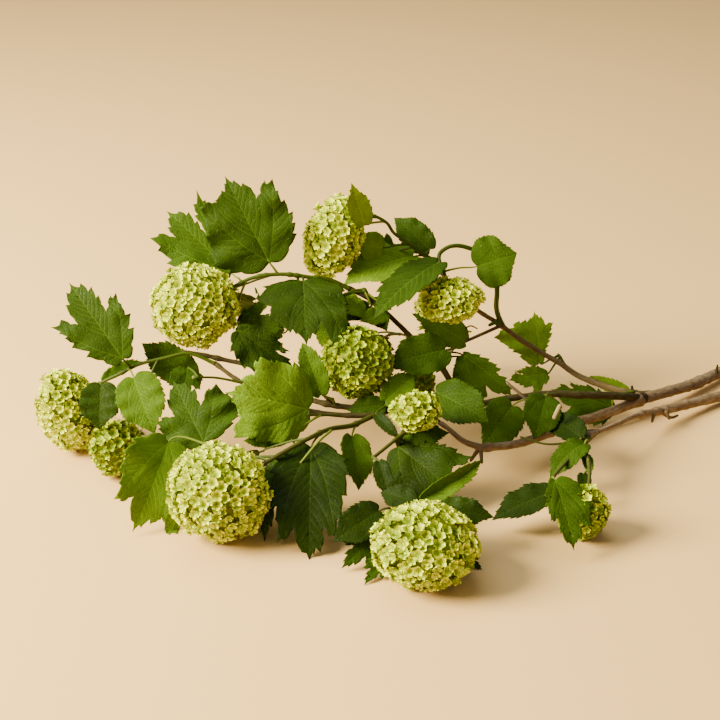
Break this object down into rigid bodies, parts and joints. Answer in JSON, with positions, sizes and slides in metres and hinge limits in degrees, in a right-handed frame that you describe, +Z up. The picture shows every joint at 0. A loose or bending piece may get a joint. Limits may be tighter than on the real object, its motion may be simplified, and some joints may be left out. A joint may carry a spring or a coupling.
{
  "type": "cut snowball viburnum branch",
  "caption": "Cut flowering stems of a snowball viburnum lying crossed, with three-lobed leaves and round pale green-cream flower balls.",
  "frame": {"origin": "bottom centre of the plant's box, on the surface that it lies on", "axes": "+X to the right, towards the cut ends of the two stems; +Y away from the front flower ball; +Z up"},
  "size_m": [0.6568, 0.417, 0.2017],
  "materials": {
    "bark_grey": "rough grey-brown bark of old wood",
    "bark_dark": "dark brown bark of younger branches",
    "bark_red": "reddish brown bark",
    "leaf": "soft matte green leaf with a faint sheen",
    "petals": "matte pale lime cream petals"
  },
  "bodies": {
    "root": {"bloom_centre": "petals", "bloom_far_left": "petals", "bloom_front": "petals", "bloom_front_left": "petals", "bloom_hidden": "petals", "bloom_low_left": "petals", "bloom_right": "petals", "bloom_small": "petals", "bloom_top": "petals", "bloom_upper_left": "petals", "bloom_upper_right": "petals", "branch_back": "bark_red", "branch_front": "bark_grey", "branch_left": "bark_dark", "branch_low": "bark_dark", "branch_mid": "bark_dark", "branch_rise": "bark_dark", "branch_tip": "bark_dark", "leaf_centre": "leaf", "leaf_fan": "leaf", "leaf_folded": "leaf", "leaf_fork": "leaf", "leaf_inner": "leaf", "leaf_left": "leaf", "leaves_arch": "leaf", "leaves_back": "leaf", "leaves_bloom": "leaf", "leaves_centre": "leaf", "leaves_fall": "leaf", "leaves_far_left": "leaf", "leaves_front": "leaf", "leaves_front_left": "leaf", "leaves_joint": "leaf", "leaves_low_left": "leaf", "leaves_node": "leaf", "leaves_rear": "leaf", "leaves_right": "leaf", "leaves_top": "leaf", "leaves_under": "leaf", "leaves_upper_left": "leaf", "stalk_centre": "leaf", "stalk_low_left": "leaf", "stem_lower": "bark_grey", "stem_upper": "bark_grey", "twig_grey": "bark_grey"}
  },
  "joints": []
}
